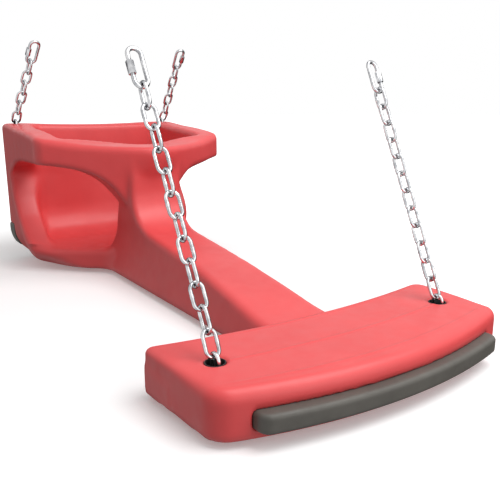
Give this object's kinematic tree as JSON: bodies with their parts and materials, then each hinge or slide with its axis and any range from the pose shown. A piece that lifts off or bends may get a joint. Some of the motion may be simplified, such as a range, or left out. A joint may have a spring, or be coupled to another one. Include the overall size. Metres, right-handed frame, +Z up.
{
  "type": "parent and child bucket swing",
  "caption": "One-piece swing with a flat parent seat facing a toddler bucket across a connecting beam, hung on four short-link chains.",
  "frame": {"origin": "on the underside of the parent seat, midway between the front chain holes", "axes": "+Y from the parent seat to the bucket, +X to the right seen from the parent seat, +Z up"},
  "size_m": [0.602, 1.314, 0.5852],
  "materials": {
    "red_moulding": "satin rotomoulded polyethylene with a fine orange-peel surface",
    "bumper_rubber": "satin warm dark grey rubber",
    "chain_steel": "bright zinc-plated steel wire",
    "pin_steel": "plain steel",
    "sleeve_plastic": "black nylon"
  },
  "bodies": {
    "swing_seat": {"moulded_body": "red_moulding", "front_bumper": "bumper_rubber", "rear_bumper": "bumper_rubber", "chain_sleeve_front_left": "sleeve_plastic", "anchor_pin_front_left": "pin_steel", "link_front_left_01": "chain_steel", "chain_sleeve_front_right": "sleeve_plastic", "anchor_pin_front_right": "pin_steel", "link_front_right_01": "chain_steel", "chain_sleeve_back_left": "sleeve_plastic", "anchor_pin_back_left": "pin_steel", "link_back_left_01": "chain_steel", "chain_sleeve_back_right": "sleeve_plastic", "anchor_pin_back_right": "pin_steel", "link_back_right_01": "chain_steel"},
    "lower_link_front_left": {"link_front_left_02": "chain_steel"},
    "chain_front_left": {"link_front_left_03": "chain_steel", "link_front_left_04": "chain_steel", "link_front_left_05": "chain_steel", "link_front_left_06": "chain_steel", "link_front_left_07": "chain_steel", "link_front_left_08": "chain_steel", "link_front_left_09": "chain_steel", "link_front_left_10": "chain_steel", "link_front_left_11": "chain_steel", "link_front_left_12": "chain_steel", "link_front_left_13": "chain_steel"},
    "hook_front_left": {"quick_link_front_left": "chain_steel", "sleeve_nut_front_left": "chain_steel"},
    "lower_link_front_right": {"link_front_right_02": "chain_steel"},
    "chain_front_right": {"link_front_right_03": "chain_steel", "link_front_right_04": "chain_steel", "link_front_right_05": "chain_steel", "link_front_right_06": "chain_steel", "link_front_right_07": "chain_steel", "link_front_right_08": "chain_steel", "link_front_right_09": "chain_steel", "link_front_right_10": "chain_steel", "link_front_right_11": "chain_steel", "link_front_right_12": "chain_steel", "link_front_right_13": "chain_steel"},
    "hook_front_right": {"quick_link_front_right": "chain_steel", "sleeve_nut_front_right": "chain_steel"},
    "lower_link_back_left": {"link_back_left_02": "chain_steel"},
    "chain_back_left": {"link_back_left_03": "chain_steel", "link_back_left_04": "chain_steel", "link_back_left_05": "chain_steel", "link_back_left_06": "chain_steel", "link_back_left_07": "chain_steel"},
    "hook_back_left": {"quick_link_back_left": "chain_steel", "sleeve_nut_back_left": "chain_steel"},
    "lower_link_back_right": {"link_back_right_02": "chain_steel"},
    "chain_back_right": {"link_back_right_03": "chain_steel", "link_back_right_04": "chain_steel", "link_back_right_05": "chain_steel", "link_back_right_06": "chain_steel", "link_back_right_07": "chain_steel"},
    "hook_back_right": {"quick_link_back_right": "chain_steel", "sleeve_nut_back_right": "chain_steel"}
  },
  "joints": [
    {"name": "lean_front_left", "type": "hinge", "parent": "swing_seat", "child": "lower_link_front_left", "pos_m": [-0.24, 0, 0.074], "axis": [1, 0, 0], "range_deg": [-35, 65]},
    {"name": "sway_front_left", "type": "hinge", "parent": "lower_link_front_left", "child": "chain_front_left", "pos_m": [-0.24, 0.0151, 0.10524], "axis": [0, -0.9003, 0.4352], "range_deg": [-20, 20]},
    {"name": "swivel_front_left", "type": "hinge", "parent": "chain_front_left", "child": "hook_front_left", "pos_m": [-0.25066, 0.18117, 0.44876], "axis": [0.9996, 0.0122, 0.0251], "range_deg": [-60, 60]},
    {"name": "lean_front_right", "type": "hinge", "parent": "swing_seat", "child": "lower_link_front_right", "pos_m": [0.24, 0, 0.074], "axis": [1, 0, 0], "range_deg": [-35, 65]},
    {"name": "sway_front_right", "type": "hinge", "parent": "lower_link_front_right", "child": "chain_front_right", "pos_m": [0.24, 0.0151, 0.10524], "axis": [0, -0.9003, 0.4352], "range_deg": [-20, 20]},
    {"name": "swivel_front_right", "type": "hinge", "parent": "chain_front_right", "child": "hook_front_right", "pos_m": [0.25066, 0.18117, 0.44876], "axis": [0.9996, -0.0122, -0.0251], "range_deg": [-60, 60]},
    {"name": "lean_back_left", "type": "hinge", "parent": "swing_seat", "child": "lower_link_back_left", "pos_m": [-0.224, 1.102, 0.379], "axis": [1, 0, 0], "range_deg": [-75, 30]},
    {"name": "sway_back_left", "type": "hinge", "parent": "lower_link_back_left", "child": "chain_back_left", "pos_m": [-0.224, 1.07856, 0.40458], "axis": [0, -0.7373, -0.6756], "range_deg": [-20, 20]},
    {"name": "swivel_back_left", "type": "hinge", "parent": "chain_back_left", "child": "hook_back_left", "pos_m": [-0.20888, 0.96179, 0.53201], "axis": [0.9962, 0.0589, -0.0643], "range_deg": [-60, 60]},
    {"name": "lean_back_right", "type": "hinge", "parent": "swing_seat", "child": "lower_link_back_right", "pos_m": [0.224, 1.102, 0.379], "axis": [1, 0, 0], "range_deg": [-75, 30]},
    {"name": "sway_back_right", "type": "hinge", "parent": "lower_link_back_right", "child": "chain_back_right", "pos_m": [0.224, 1.07856, 0.40458], "axis": [0, -0.7373, -0.6756], "range_deg": [-20, 20]},
    {"name": "swivel_back_right", "type": "hinge", "parent": "chain_back_right", "child": "hook_back_right", "pos_m": [0.20888, 0.96179, 0.53201], "axis": [0.9962, -0.0589, 0.0643], "range_deg": [-60, 60]}
  ]
}
